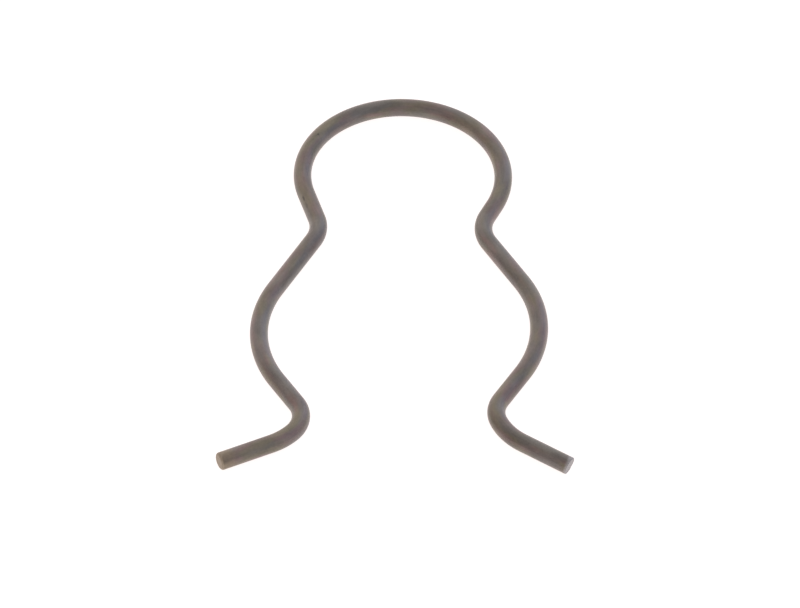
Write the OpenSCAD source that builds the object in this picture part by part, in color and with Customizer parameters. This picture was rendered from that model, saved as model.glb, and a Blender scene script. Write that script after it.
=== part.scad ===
// Sprung retaining clip, bent flat from one length of round wire.
// It lies on its side: the head is at the back (+Y) and the two feet flare out at the front (-Y).

/* [Wire] */
// Diameter of the round wire
wire_d = 2; // [1:0.1:3]
// How much the wire is drawn thinner round a bend, on its diameter
bend_thinning = 0.02; // [0.02:0.01:0.1]

/* [Bends, to the middle of the wire] */
// Radius of the waist bends
waist_r = 4.7; // [3:0.05:8]
// Radius of the bellies
belly_r = 14.65; // [12:0.05:20]
// Radius of the foot bends
foot_r = 3.8; // [3:0.05:8]
// Radius that each foot bend opens out to
flare_r = 7.2; // [4:0.05:12]

/* [Left leg, from the top of the head] */
// Radius of this half of the head, to the middle of the wire
left_head_r = 11.15; // [9:0.05:16]
// Angle that this half of the head turns through
left_head_turn = 108.5; // [95:0.5:118]
// Straight length between the head and the waist bend
left_neck = 4.25; // [1:0.05:8]
// Angle of the waist bend
left_waist_turn = 44.5; // [35:0.5:60]
// Straight length between the waist bend and the belly
left_flank = 8.8; // [4:0.05:14]
// Angle of the belly
left_belly_turn = 59; // [45:0.5:70]
// Straight length between the belly and the foot bend
left_calf = 4.15; // [1:0.05:8]
// Angle of the foot bend
left_foot_turn = 72; // [45:0.5:80]
// Angle of the wider bend after it
left_flare_turn = 23; // [5:0.5:40]
// Straight length of the foot
left_foot = 6.25; // [4:0.05:12]

/* [Right leg, from the top of the head] */
// Radius of this half of the head, to the middle of the wire
right_head_r = 11.5; // [9:0.05:16]
// Angle that this half of the head turns through
right_head_turn = 113; // [95:0.5:118]
// Straight length between the head and the waist bend
right_neck = 1.85; // [1:0.05:8]
// Angle of the waist bend
right_waist_turn = 54.5; // [35:0.5:60]
// Straight length between the waist bend and the belly
right_flank = 7.1; // [4:0.05:14]
// Angle of the belly
right_belly_turn = 59.5; // [45:0.5:70]
// Straight length between the belly and the foot bend
right_calf = 4.75; // [1:0.05:8]
// Angle of the foot bend
right_foot_turn = 51.5; // [45:0.5:80]
// Angle of the wider bend after it
right_flare_turn = 33.5; // [5:0.5:40]
// Straight length of the foot
right_foot = 6.1; // [4:0.05:12]

/* [Hidden] */
$fn = 48;

wire_r = wire_d / 2;
bend_wire_r = (wire_d - bend_thinning) / 2;
// A straight length reaches a little way into the thinner bends at its ends.
lap = 0.1;

// A leg is a list of moves: a straight length, then the radius and the angle of the bend after it.
// Both legs are written as the left one, where a positive bend turns left, as the head does.
left_leg = [
    [0, left_head_r, left_head_turn],
    [left_neck, waist_r, -left_waist_turn],
    [left_flank, belly_r, left_belly_turn],
    [left_calf, foot_r, -left_foot_turn],
    [0, flare_r, -left_flare_turn],
    [left_foot, 0, 0]
];
right_leg = [
    [0, right_head_r, right_head_turn],
    [right_neck, waist_r, -right_waist_turn],
    [right_flank, belly_r, right_belly_turn],
    [right_calf, foot_r, -right_foot_turn],
    [0, flare_r, -right_flare_turn],
    [right_foot, 0, 0]
];

// A pose is a point on the middle of the wire and the heading there: [x, y, heading].
head_top = [0, 0, 180];
function ahead(pose, run) = [pose.x + run * cos(pose[2]), pose.y + run * sin(pose[2]), pose[2]];
function turned(pose, radius, turn) =
    let (r = radius * sign(turn), heading = pose[2] + turn)
    [pose.x + r * (sin(heading) - sin(pose[2])), pose.y + r * (cos(pose[2]) - cos(heading)), heading];

// The pose at the start of each move, and last the pose at the cut end
function leg_poses(moves, pose = head_top, i = 0) =
    i == len(moves)
    ? [pose]
    : concat([pose], leg_poses(moves, turned(ahead(pose, moves[i][0]), moves[i][1], moves[i][2]), i + 1));

// Straight wire from a pose, with a lap at its start and another at its end if a bend follows
module run(pose, length, end_lap = lap) {
    translate([pose.x, pose.y, 0])
        rotate([0, 90, pose[2]])
        translate([0, 0, -lap])
        cylinder(r = wire_r, h = lap + length + end_lap);
}

// Bent wire from a pose: a bend to the right is one to the left, turned over
module bend(pose, radius, turn) {
    translate([pose.x, pose.y, 0])
        rotate([turn < 0 ? 180 : 0, 0, pose[2]])
        translate([0, radius, 0])
        rotate([0, 0, -90])
        rotate_extrude(angle = abs(turn))
        translate([radius, 0])
        circle(r = bend_wire_r);
}

// The last move is the foot, which is cut off square.
module leg(moves) {
    poses = leg_poses(moves);
    last = len(moves) - 1;
    for (i = [0:last - 1]) {
        run(poses[i], moves[i][0]);
        bend(ahead(poses[i], moves[i][0]), moves[i][1], moves[i][2]);
    }
    run(poses[last], moves[last][0], end_lap = 0);
}

// Poses along a leg, close enough together to find how far the wire reaches
function leg_samples(moves, poses) = [
    for (i = [0:len(moves) - 1])
        for (part = [0:0.01:1])
            turned(ahead(poses[i], moves[i][0]), moves[i][1], part * moves[i][2])
];
function leg_edges(moves) = [
    for (pose = leg_samples(moves, leg_poses(moves)))
        for (side = [-wire_r, wire_r])
            [pose.x + side * sin(pose[2]), pose.y - side * cos(pose[2])]
];
left_edges = leg_edges(left_leg);
right_edges = leg_edges(right_leg);
left_reach = max([for (p = left_edges) -p.x]);
right_reach = max([for (p = right_edges) -p.x]);
front_reach = max([for (p = concat(left_edges, right_edges)) -p.y]);

// The origin is the middle of the clip's footprint, on the surface that it lies on.
module wire_clip() {
    color([0.42, 0.39, 0.37])
        translate([(left_reach - right_reach) / 2, (front_reach - wire_r) / 2, wire_r]) {
            leg(left_leg);
            mirror([1, 0, 0]) leg(right_leg);
        }
}

wire_clip();
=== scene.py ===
from math import atan2, ceil, cos, pi, radians, sin

import bmesh
import bpy
from mathutils import Matrix, Vector, noise


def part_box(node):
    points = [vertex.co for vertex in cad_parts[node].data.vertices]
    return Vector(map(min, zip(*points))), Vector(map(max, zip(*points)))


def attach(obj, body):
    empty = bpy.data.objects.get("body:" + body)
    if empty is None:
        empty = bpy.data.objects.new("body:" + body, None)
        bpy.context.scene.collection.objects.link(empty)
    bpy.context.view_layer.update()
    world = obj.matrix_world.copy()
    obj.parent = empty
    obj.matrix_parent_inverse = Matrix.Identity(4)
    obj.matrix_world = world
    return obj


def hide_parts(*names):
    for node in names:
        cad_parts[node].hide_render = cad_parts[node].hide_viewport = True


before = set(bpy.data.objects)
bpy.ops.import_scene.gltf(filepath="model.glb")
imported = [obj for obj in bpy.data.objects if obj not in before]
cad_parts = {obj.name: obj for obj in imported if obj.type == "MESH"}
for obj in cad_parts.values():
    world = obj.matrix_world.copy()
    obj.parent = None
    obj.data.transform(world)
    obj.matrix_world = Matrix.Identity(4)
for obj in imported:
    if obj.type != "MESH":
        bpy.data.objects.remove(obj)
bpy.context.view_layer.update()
mm = 0.001
up = Vector((0, 0, 1))


# A socket of a shader tree. Sums on it add Math nodes, and any other node comes from node().
class Look:
    def __init__(self, tree, socket=None):
        self.tree = tree
        self.socket = socket

    def node(self, kind, settings=None, inputs=None, output=0):
        made = self.tree.nodes.new(kind)
        for name, value in (settings or {}).items():
            if name == "stops":  # of a colour ramp: (position, colour)
                elements = made.color_ramp.elements
                while len(elements) < len(value):
                    elements.new(0.5)
                for element, (position, colour) in zip(elements, value):
                    element.position = position
                    element.color = colour
            else:
                setattr(made, name, value)
        for name, value in (inputs or {}).items():
            if isinstance(value, Look):
                self.tree.links.new(value.socket, made.inputs[name])
            else:
                made.inputs[name].default_value = value
        return Look(self.tree, made.outputs[output] if made.outputs else None)

    def maths(self, operation, *values):
        return self.node("ShaderNodeMath", {"operation": operation}, dict(enumerate(values)))

    def __add__(self, other):
        return self.maths("ADD", self, other)

    def __radd__(self, other):
        return self.maths("ADD", other, self)

    def __sub__(self, other):
        return self.maths("SUBTRACT", self, other)

    def __rsub__(self, other):
        return self.maths("SUBTRACT", other, self)

    def __mul__(self, other):
        return self.maths("MULTIPLY", self, other)

    def __rmul__(self, other):
        return self.maths("MULTIPLY", other, self)

    # Goes smoothly from 0 at start to 1 at end
    def ramp(self, start, end):
        return self.node(
            "ShaderNodeMapRange",
            {"interpolation_type": "SMOOTHSTEP"},
            {"Value": self, "From Min": start, "From Max": end},
        )

    # The first colour where this is 0, the second where it is 1
    def between(self, first, second):
        return self.node("ShaderNodeMix", {"data_type": "RGBA"}, {0: self, 6: first, 7: second}, 2)

    # A vector stretched by a different amount along each axis
    def stretched(self, amounts):
        return self.node("ShaderNodeVectorMath", {"operation": "MULTIPLY"}, {0: self, 1: amounts})

    # A colour or a vector made larger by one amount
    def scaled(self, amount):
        return self.node(
            "ShaderNodeVectorMath", {"operation": "SCALE"}, {0: self, "Scale": amount}
        )

    # How far this vector is from a place, where each axis counts in its own half size
    def distance(self, place, halfSizes):
        offset = self.node("ShaderNodeVectorMath", {"operation": "SUBTRACT"}, {0: self, 1: place})
        share = offset.stretched([1 / half for half in halfSizes])
        return share.node("ShaderNodeVectorMath", {"operation": "LENGTH"}, {0: share}, "Value")

    # How much this direction points towards another
    def facing(self, towards):
        return self.node(
            "ShaderNodeVectorMath", {"operation": "DOT_PRODUCT"}, {0: self, 1: towards}, "Value"
        )

    # Noise read at this vector, about 0.5 in the middle
    def noise(self, scale, detail, roughness, seed):
        return self.node(
            "ShaderNodeTexNoise",
            {"noise_dimensions": "4D"},
            {"Vector": self, "W": seed, "Scale": scale, "Detail": detail, "Roughness": roughness},
        )


def newMaterial(name):
    material = bpy.data.materials.new(name)
    material.use_nodes = True
    material.node_tree.nodes.clear()
    return material


# The wire, in millimetres and degrees. A leg's moves are a straight length, then the radius and
# the turn of the bend after it, from the top of the head: a positive bend turns inwards, as the
# head does. A side of a cut end is a direction across the wire: inwards, then up.
clip = {
    "wireRadius": 0.996,
    "cadRadius": 1,
    "sides": 64,
    "faceLength": 0.2,
    "slack": 0.01,  # how far past its ends a stretch still takes in a vert
    "nearWire": 1.2,  # and how far from its middle line
    "left": {
        "moves": [
            (0, 11.15, 108.5),
            (4.25, 4.7, -44.5),
            (8.8, 14.65, 59),
            (4.15, 3.8, -72),
            (0, 7.2, -23),
        ],
        "foot": 6.25,
        "edgeRound": 0.3,
        "farSide": (-0.62, -0.78),  # where the blade came out
        "slant": -0.02,  # how far that side is cut back from the middle
        "rollOver": (0.03, 0.5),  # how much the near side shrinks, and along how much wire
        "burrSide": (0.7, 0.7),
        "burr": 0,
        "bareSide": (-0.73, 0.68),
        "bareDepth": (0.2, 0.6),  # how much wire is bare all round, and how much more on that side
        "bareEdge": 0.05,  # half the width of the coat's ragged edge
    },
    "right": {
        "moves": [
            (0, 11.5, 113),
            (1.85, 4.7, -54.5),
            (7.1, 14.65, 59.5),
            (4.75, 3.8, -51.5),
            (0, 7.2, -33.5),
        ],
        "foot": 6.1,
        "edgeRound": 0.12,
        "farSide": (-0.68, -0.74),
        "slant": 0.16,
        "rollOver": (0.16, 0.8),
        "burrSide": (-0.74, 0.68),
        "burr": 0.12,
        "bareSide": (-0.76, 0.65),
        "bareDepth": (0.2, 0.32),
        "bareEdge": 0.18,
    },
    "spareFoot": 2,  # swept past the cut, and cut off
    "cutPrecision": 1e-5,
    "roundSteps": 6,
    "faceSearch": 0.5,  # how near the middle of the cut its face is looked for
    "faceRings": [0.07, 0.1, 0.12, 0.14, 0.12],  # widths of the rings of faces on a cut end
    "endLength": 2.5,  # how much of each foot the blade changed, with its face
    "slantLength": 1.5,  # how much of it leans with the face
    "tear": 0.02,  # depth of the torn part of a cut end
    "tearLength": 0.3,
    "tearScales": (4, 9),
    "tearFineness": 0.5,  # strength of the finer tear, beside the coarse one
    "coated": 99,  # what a vert far from the bare steel notes
}


# The points of the frame's wire that reach furthest: the top of its head and its square ends
outermost = [Vector((0, clip["cadRadius"], 0))]
# The straight lengths and the bends, as functions that unbend a point or say that it isn't theirs
stretches = []


# Carries the ring of edges along a straight length
def sweepStraight(bm, ring, pose, length, travelled, side):
    start, heading = pose
    steps = ceil(length / clip["faceLength"])
    step = Vector((cos(heading), sin(heading), 0)) * length / steps
    swept = bmesh.ops.spin(bm, geom=ring, cent=start, axis=up, dvec=step, angle=0, steps=steps)
    noteStraight(pose, length, travelled, side)
    return lastRing(swept), (start + step * steps, heading)


# Carries it round a bend
def sweepBend(bm, ring, pose, radius, turn, travelled, side):
    start, heading = pose
    angle = radians(turn) * side
    toCentre = Vector((-sin(heading), cos(heading), 0)) * (radius if angle > 0 else -radius)
    centre = start + toCentre
    steps = ceil(radius * abs(angle) / clip["faceLength"])
    swept = bmesh.ops.spin(bm, geom=ring, cent=centre, axis=up, angle=angle, steps=steps)
    noteBend(pose, centre, radius, turn, travelled, side)
    turned = Matrix.Rotation(angle, 3, "Z") @ (start - centre)
    return lastRing(swept), (centre + turned, heading + angle)


def lastRing(swept):
    return [item for item in swept["geom_last"] if isinstance(item, bmesh.types.BMEdge)]


def noteStraight(pose, length, travelled, side):
    start, heading = pose
    ahead = Vector((cos(heading), sin(heading), 0))
    inwards = up.cross(ahead) * side

    def unbend(co):
        along, aside = (co - start).dot(ahead), (co - start).dot(inwards)
        if -clip["slack"] < along < length + clip["slack"] and abs(aside) < clip["nearWire"]:
            return (travelled + along) * side, aside, co.z

    stretches.append(unbend)


def noteBend(pose, centre, radius, turn, travelled, side):
    spoke = pose[0] - centre
    slack = clip["slack"] / radius
    way = 1 if turn > 0 else -1

    def unbend(co):
        offset = co - centre
        angle = atan2(spoke.cross(offset).z, spoke.dot(offset)) * side * way
        aside = (radius - offset.xy.length) * way
        if -slack < angle < radians(abs(turn)) + slack and abs(aside) < clip["nearWire"]:
            return (travelled + radius * angle) * side, aside, co.z

    stretches.append(unbend)


# A foot is swept in one long face a side, cut off, and only then divided into short faces
def cutFoot(bm, ring, pose, leg, travelled, side):
    start, heading = pose
    ahead = Vector((cos(heading), sin(heading), 0))
    length = leg["foot"] + clip["spareFoot"]
    step = ahead * length
    swept = bmesh.ops.spin(bm, geom=ring, cent=start, axis=up, dvec=step, angle=0, steps=1)
    noteStraight(pose, length, travelled, side)
    footFaces = list({face for edge in lastRing(swept) for face in edge.link_faces})
    footEdges = list({edge for face in footFaces for edge in face.edges})
    footVerts = list({vert for face in footFaces for vert in face.verts})

    cutCentre = start + ahead * leg["foot"]
    halfFace = up.cross(ahead) * clip["cadRadius"]
    outermost.extend([cutCentre + halfFace, cutCentre - halfFace])
    cut = bmesh.ops.bisect_plane(
        bm,
        geom=footFaces + footEdges + footVerts,
        dist=clip["cutPrecision"],
        plane_co=cutCentre,
        plane_no=ahead,
        clear_outer=True,
    )
    rim = [item for item in cut["geom_cut"] if isinstance(item, bmesh.types.BMEdge)]
    bmesh.ops.contextual_create(bm, geom=rim)
    bmesh.ops.bevel(
        bm,
        geom=rim,
        offset=leg["edgeRound"],
        segments=clip["roundSteps"],
        profile=0.5,
        affect="EDGES",
        material=-1,
    )
    nearFaces = (
        face
        for face in bm.faces
        if (face.calc_center_median() - cutCentre).length < clip["faceSearch"]
    )
    face = max(nearFaces, key=lambda face: len(face.edges))
    for width in clip["faceRings"]:
        bmesh.ops.inset_region(bm, faces=[face], thickness=width, use_even_offset=True)
    bmesh.ops.poke(bm, faces=[face])

    longEdges = [edge for edge in bm.edges if edge.calc_length() > leg["foot"] / 2]
    bmesh.ops.subdivide_edges(
        bm, edges=longEdges, cuts=ceil(leg["foot"] / clip["faceLength"]), use_grid_fill=False
    )
    return cutCentre, ahead


# Notes where each vert is on the straightened wire: along it, inwards and up, in millimetres
def noteWire(bm):
    alongWire = bm.verts.layers.float_vector["alongWire"]
    for vert in bm.verts:
        places = filter(None, (unbend(vert.co) for unbend in stretches))
        vert[alongWire] = next(places)


# The blade rolled the near side over, went through at a slant, tore the face, and left a burr.
# Each vert notes how far it is behind the bare steel, in half widths of the coat's edge.
def shearEnd(bm, leg, cutCentre, ahead):
    alongWire = bm.verts.layers.float_vector["alongWire"]
    fromBare = bm.verts.layers.float["fromBare"]
    farSide, burrSide, bareSide = (Vector(leg[side]) for side in ("farSide", "burrSide", "bareSide"))
    bareDepth, extraDepth = leg["bareDepth"]
    shrink, shrinkLength = leg["rollOver"]
    coarse, fine = clip["tearScales"]
    for vert in bm.verts:
        if (vert.co - cutCentre).length >= clip["endLength"]:
            continue
        depth = (cutCentre - vert.co).dot(ahead)
        inside = max(depth, 0)
        place = vert[alongWire].yz / clip["wireRadius"]
        bare = bareDepth + extraDepth * max(place.dot(bareSide), 0) ** 2
        vert[fromBare] = (depth - bare) / leg["bareEdge"]

        axisPoint = cutCentre - ahead * depth
        rolled = max(-place.dot(farSide), 0) * max(1 - inside / shrinkLength, 0)
        vert.co -= (vert.co - axisPoint) * shrink * rolled**2
        move = leg["burr"] * max(place.dot(burrSide), 0) - leg["slant"] * place.dot(farSide)
        torn = 0.5 + noise.noise(vert.co * coarse)
        torn += noise.noise(vert.co * fine) * clip["tearFineness"]
        vert.co += ahead * move * max(1 - inside / clip["slantLength"], 0) ** 2
        vert.co -= ahead * clip["tear"] * torn * max(1 - inside / clip["tearLength"], 0)


bm = bmesh.new()
bm.verts.layers.float_vector.new("alongWire")
fromBare = bm.verts.layers.float.new("fromBare")

# The ring at the top of the head
headTop = Vector((0, 0, 0))
made = bmesh.ops.create_circle(
    bm,
    segments=clip["sides"],
    radius=clip["wireRadius"],
    matrix=Matrix.Rotation(pi / 2, 4, "Y"),
)
firstRing = list({edge for vert in made["verts"] for edge in vert.link_edges})

cuts = []
for name, side, heading in (("left", 1, pi), ("right", -1, 0)):
    leg = clip[name]
    ring, pose, travelled = firstRing, (headTop.copy(), heading), 0
    for length, radius, turn in leg["moves"]:
        if length:
            ring, pose = sweepStraight(bm, ring, pose, length, travelled, side)
            travelled += length
        ring, pose = sweepBend(bm, ring, pose, radius, turn, travelled, side)
        travelled += radius * radians(abs(turn))
    cuts.append((leg, *cutFoot(bm, ring, pose, leg, travelled, side)))
    print(f"{name} leg: {travelled + leg['foot']:.1f} mm of wire from the head's top")

noteWire(bm)
for vert in bm.verts:
    vert[fromBare] = clip["coated"]
for leg, cutCentre, ahead in cuts:
    shearEnd(bm, leg, cutCentre, ahead)

# Into metres, on the middle of the frame's wire
lowest = Vector([min(point[axis] for point in outermost) for axis in range(3)])
highest = Vector([max(point[axis] for point in outermost) for axis in range(3)])
cadLow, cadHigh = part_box("wire_clip")
middle = (cadLow + cadHigh) / 2
bmesh.ops.scale(bm, vec=(mm, mm, mm), verts=bm.verts)
bmesh.ops.translate(bm, vec=middle - (lowest + highest) / 2 * mm, verts=bm.verts)
bmesh.ops.recalc_face_normals(bm, faces=bm.faces)

mesh = bpy.data.meshes.new("wireClip")
bm.to_mesh(mesh)
bm.free()
mesh.shade_smooth()
wireClip = bpy.data.objects.new("wireClip", mesh)
bpy.context.scene.collection.objects.link(wireClip)
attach(wireClip, "root")
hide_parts("wire_clip")
print("wire swept:", len(mesh.polygons), "faces")


# The wire's finish. A noise is its scale, detail, roughness and seed. The grain, the speckle and
# the ragged edge are read in metres, and the others in millimetres on the straightened wire.
finish = {
    "plum": (0.198, 0.138, 0.122, 1),
    "olive": (0.180, 0.156, 0.103, 1),
    "slate": (0.158, 0.147, 0.133, 1),
    "patchStretch": (0.3, 1, 1),  # the patches are long along the wire
    "olivePatches": (0.9, 2, 0.5, 55.4),
    "oliveFrom": (0.38, 0.62),  # where on its noise a patch starts and is full
    "slatePatches": (0.8, 2, 0.5, 49.5),
    "slateFrom": (0.4, 0.64),
    "slateCover": 0.8,
    "rust": (0.232, 0.178, 0.112, 1),  # the coat beside the left cut
    "rustFrom": (68.8, 70.0),  # where that starts and is full, in millimetres of wire
    "rustCover": 0.8,
    "tone": (1.0, 3, 0.55, 113.4),
    "mottle": (3.2, 3, 0.65, 9),
    "dieStretch": (0.05, 5, 5),
    "dieLines": (1.6, 4, 0.6, 4),
    "grain": (16000, 3, 0.6, 5),
    "contrast": {"tone": 1.35, "mottle": 0.4, "dieLines": 0.4, "grain": 0.3},
    # small scrapes in the coat of the left leg: how far along the wire, degrees round it from the
    # top towards the inside, half length, half width, and how dark
    "scrapes": [
        (11.9, 10, 0.15, 0.12, 0.6),
        (12.2, 5, 0.15, 0.06, 0.35),
        (12.9, 5, 0.15, 0.06, 0.35),
        (12.5, -10, 0.12, 0.06, 0.25),
        (11.3, -25, 0.15, 0.06, 0.2),
        (22.5, -45, 0.4, 0.12, 0.55),
        (23.7, -45, 0.5, 0.15, 0.3),
    ],
    "scrapeEdge": (0.6, 1.3),  # in half sizes
    "metallic": 0.3,
    "roughness": 0.5,
    "unevenRoughness": {"grain": 0.2, "dieLines": 0.12},
    "oilFilm": 0.6,
    "oilRoughness": 0.35,
    "rustyAndWarmLitSteel": (0.32, 0.262, 0.192, 1),  # the left cut, a little rusted and painted warmer, a painted tint of the warm light from the left
    "greySteel": (0.36, 0.345, 0.335, 1),  # the right cut
    "legChange": (-1, 1),  # where one steel goes over to the other, at the head's top
    "bareMetallic": 0.2,
    "speckle": (3000, 3, 0.6, 7),
    "speckleDarkest": 0.75,
    "speckleContrast": 0.5,
    "raggedEdge": (2500, 3, 0.6, 8),
    "raggedness": 2,
    "dragStretch": (0, 9, 0.6),
    "drag": (1, 3, 0.6, 6),  # the lines that the blade drew down the cut
    "grainRelief": 0.5,
    "dieLineRelief": 0.8,
    "reliefStrength": 0.35,
    "reliefHeight": 0.015 * mm,
}


def phosphatedSpringWire():
    material = newMaterial("phosphatedSpringWire")
    look = Look(material.node_tree)
    place = look.node("ShaderNodeTexCoord", output="Object")
    along = look.node("ShaderNodeAttribute", {"attribute_name": "alongWire"}, output="Vector")
    fromBare = look.node("ShaderNodeAttribute", {"attribute_name": "fromBare"}, output="Fac")
    distanceAlong = along.node("ShaderNodeSeparateXYZ", {}, {0: along})

    # the coat: long patches of plum, olive and slate, browner beside the left cut
    patchPlace = along.stretched(finish["patchStretch"])
    olivePatches = patchPlace.noise(*finish["olivePatches"]).ramp(*finish["oliveFrom"])
    slatePatches = patchPlace.noise(*finish["slatePatches"]).ramp(*finish["slateFrom"])
    rustPatch = distanceAlong.ramp(*finish["rustFrom"])
    coat = olivePatches.between(finish["plum"], finish["olive"])
    coat = (slatePatches * finish["slateCover"]).between(coat, finish["slate"])
    coat = (rustPatch * finish["rustCover"]).between(coat, finish["rust"])

    # lighter and darker by a slow tone, a mottle, die lines along the wire, a grain and scrapes
    shades = {
        "tone": patchPlace.noise(*finish["tone"]),
        "mottle": along.noise(*finish["mottle"]),
        "dieLines": along.stretched(finish["dieStretch"]).noise(*finish["dieLines"]),
        "grain": place.noise(*finish["grain"]),
    }
    light = 1
    for name, amount in finish["contrast"].items():
        light = light + (shades[name] - 0.5) * amount
    for reach, turn, halfLength, halfWidth, dark in finish["scrapes"]:
        middle = Vector((0, sin(radians(turn)), cos(radians(turn)))) * clip["wireRadius"]
        middle.x = reach
        outside = along.distance(middle, (halfLength, halfWidth, halfWidth))
        light = light * (1 - dark + dark * outside.ramp(*finish["scrapeEdge"]))
    coat = coat.scaled(light)

    # the sheared ends: bare steel, speckled, up to the coat's ragged edge
    speckle = place.noise(*finish["speckle"])
    # the left cut's steel is painted warmer than the right's: painted warm light from the left
    steel = distanceAlong.ramp(*finish["legChange"]).between(finish["greySteel"], finish["rustyAndWarmLitSteel"])
    steel = steel.scaled(finish["speckleDarkest"] + speckle * finish["speckleContrast"])
    ragged = (place.noise(*finish["raggedEdge"]) - 0.5) * finish["raggedness"]
    bare = 1 - (fromBare + ragged).ramp(-1, 1)

    roughness = finish["roughness"]
    for name, amount in finish["unevenRoughness"].items():
        roughness = roughness + (shades[name] - 0.5) * amount
    drag = along.stretched(finish["dragStretch"]).noise(*finish["drag"]) * bare
    relief = shades["grain"] * finish["grainRelief"] + shades["dieLines"] * finish["dieLineRelief"]
    bump = look.node(
        "ShaderNodeBump",
        {},
        {
            "Strength": finish["reliefStrength"],
            "Distance": finish["reliefHeight"],
            "Height": relief + drag,
        },
    )
    shader = look.node(
        "ShaderNodeBsdfPrincipled",
        {},
        {
            "Base Color": bare.between(coat, steel),
            "Metallic": finish["metallic"] + bare * (finish["bareMetallic"] - finish["metallic"]),
            "Roughness": roughness,
            "Coat Weight": finish["oilFilm"] - bare * finish["oilFilm"],
            "Coat Roughness": finish["oilRoughness"],
            "Normal": bump,
        },
    )
    look.node("ShaderNodeOutputMaterial", {}, {"Surface": shader})
    return material


wireClip.data.materials.append(phosphatedSpringWire())
print("finish made")


# The floor, the room's light and the lamps, in metres. The room's light changes over a range of
# the cosine of an angle: to the sides in gapWidth and sideSpread, to the top in gapHeight, and to
# the back in backSpread.
studio = {
    "floorRadius": 2.0,
    "floorSides": 64,
    "floorGlow": 0.95,
    "floorTint": (1.03, 0.955, 0.94, 1),  # a trace of rose
    "floorWhite": (0.3, 0.3, 0.3, 1),
    "floorRoughness": 0.9,
    "roomLight": 0.62,
    "overheadGap": 0.13,  # how much darker the room is above, between the lights
    "gapWidth": (0.05, 0.5),
    "gapHeight": (0.55, 0.9),
    "backLight": 0.46,  # how much brighter it is low behind the clip
    "backSpread": (0.1, 0.8),
    "sideDimming": 0.17,  # and how much darker straight to the sides
    "sideSpread": (0.5, 1),
    # the room's tint, from the warm left to the cool right
    "tints": [
        (0.1, (1.10, 0.95, 0.94, 1)),
        (0.5, (1.03, 0.98, 0.92, 1)),
        (0.9, (0.92, 0.98, 1.28, 1)),
    ],
    "lamps": [
        ("warmSide", (-0.6, 0.1, 0.45), (1.0, 0.86, 0.68)),
        ("coolSide", (0.6, 0.0, 0.4), (0.80, 0.90, 1.0)),
    ],
    "lampSize": 0.5,
    "lampPower": 0.05,
}
view = {
    "azimuth": 2.02,
    "elevation": 44.17,
    "aim": Vector((-0.27, -3.52, 1.0)) * mm,
    "distance": 774.4 * mm,
    "lens": 315,
    "sensor": 36,
    "clipRange": (0.05, 10),
}
azimuth, elevation = radians(view["azimuth"]), radians(view["elevation"])
toCamera = Vector(
    (sin(azimuth) * cos(elevation), -cos(azimuth) * cos(elevation), sin(elevation))
)
across = Vector((cos(azimuth), sin(azimuth), 0))


def paleTable():
    material = newMaterial("paleTable")
    look = Look(material.node_tree)
    shader = look.node(
        "ShaderNodeBsdfPrincipled",
        {},
        {
            "Base Color": studio["floorWhite"],
            "Roughness": studio["floorRoughness"],
            "Specular IOR Level": 0,
            "Emission Color": studio["floorTint"],
            "Emission Strength": studio["floorGlow"],
        },
    )
    look.node("ShaderNodeOutputMaterial", {}, {"Surface": shader})
    return material


floorMesh = bpy.data.meshes.new("floor")
bm = bmesh.new()
bmesh.ops.create_circle(
    bm, cap_ends=True, segments=studio["floorSides"], radius=studio["floorRadius"]
)
bm.to_mesh(floorMesh)
bm.free()
floor = bpy.data.objects.new("floor", floorMesh)
bpy.context.scene.collection.objects.link(floor)
floorMesh.materials.append(paleTable())


# Soft light from all round: darker above, brighter at the back, dimmer and tinted at the sides
def softRoom():
    world = bpy.data.worlds.new("room")
    world.use_nodes = True
    world.node_tree.nodes.clear()
    look = Look(world.node_tree)
    direction = look.node("ShaderNodeTexCoord", output="Generated")
    sideways = direction.facing(across)
    offCentre = sideways.maths("ABSOLUTE", sideways)
    above = direction.facing((toCamera + up).normalized()).ramp(*studio["gapHeight"])
    gap = (1 - offCentre.ramp(*studio["gapWidth"])) * above
    back = direction.facing(up.cross(across)).ramp(*studio["backSpread"])
    light = studio["roomLight"] - gap * studio["overheadGap"] + back * studio["backLight"]
    light = light - offCentre.ramp(*studio["sideSpread"]) * studio["sideDimming"]
    tint = look.node("ShaderNodeValToRGB", {"stops": studio["tints"]}, {0: sideways * 0.5 + 0.5})
    background = look.node("ShaderNodeBackground", {}, {"Color": tint, "Strength": light})
    look.node("ShaderNodeOutputWorld", {}, {"Surface": background})
    return world


# Puts a lamp or the camera at a place, with its back to a direction
def placed(name, data, place, backwards):
    holder = bpy.data.objects.new(name, data)
    holder.location = place
    holder.rotation_mode = "QUATERNION"
    holder.rotation_quaternion = backwards.to_track_quat("Z", "Y")
    bpy.context.scene.collection.objects.link(holder)
    return holder


bpy.context.scene.world = softRoom()
for name, place, colour in studio["lamps"]:
    lamp = bpy.data.lights.new(name, "AREA")
    lamp.shape = "DISK"
    lamp.size = studio["lampSize"]
    lamp.energy = studio["lampPower"]
    lamp.color = colour
    placed(name, lamp, place, Vector(place))
bpy.context.scene.view_settings.view_transform = "Standard"

camera = bpy.data.cameras.new("camera")
camera.lens = view["lens"]
camera.sensor_width = view["sensor"]
camera.clip_start, camera.clip_end = view["clipRange"]
cameraPlace = view["aim"] + toCamera * view["distance"]
bpy.context.scene.camera = placed("camera", camera, cameraPlace, toCamera)
print("studio set")
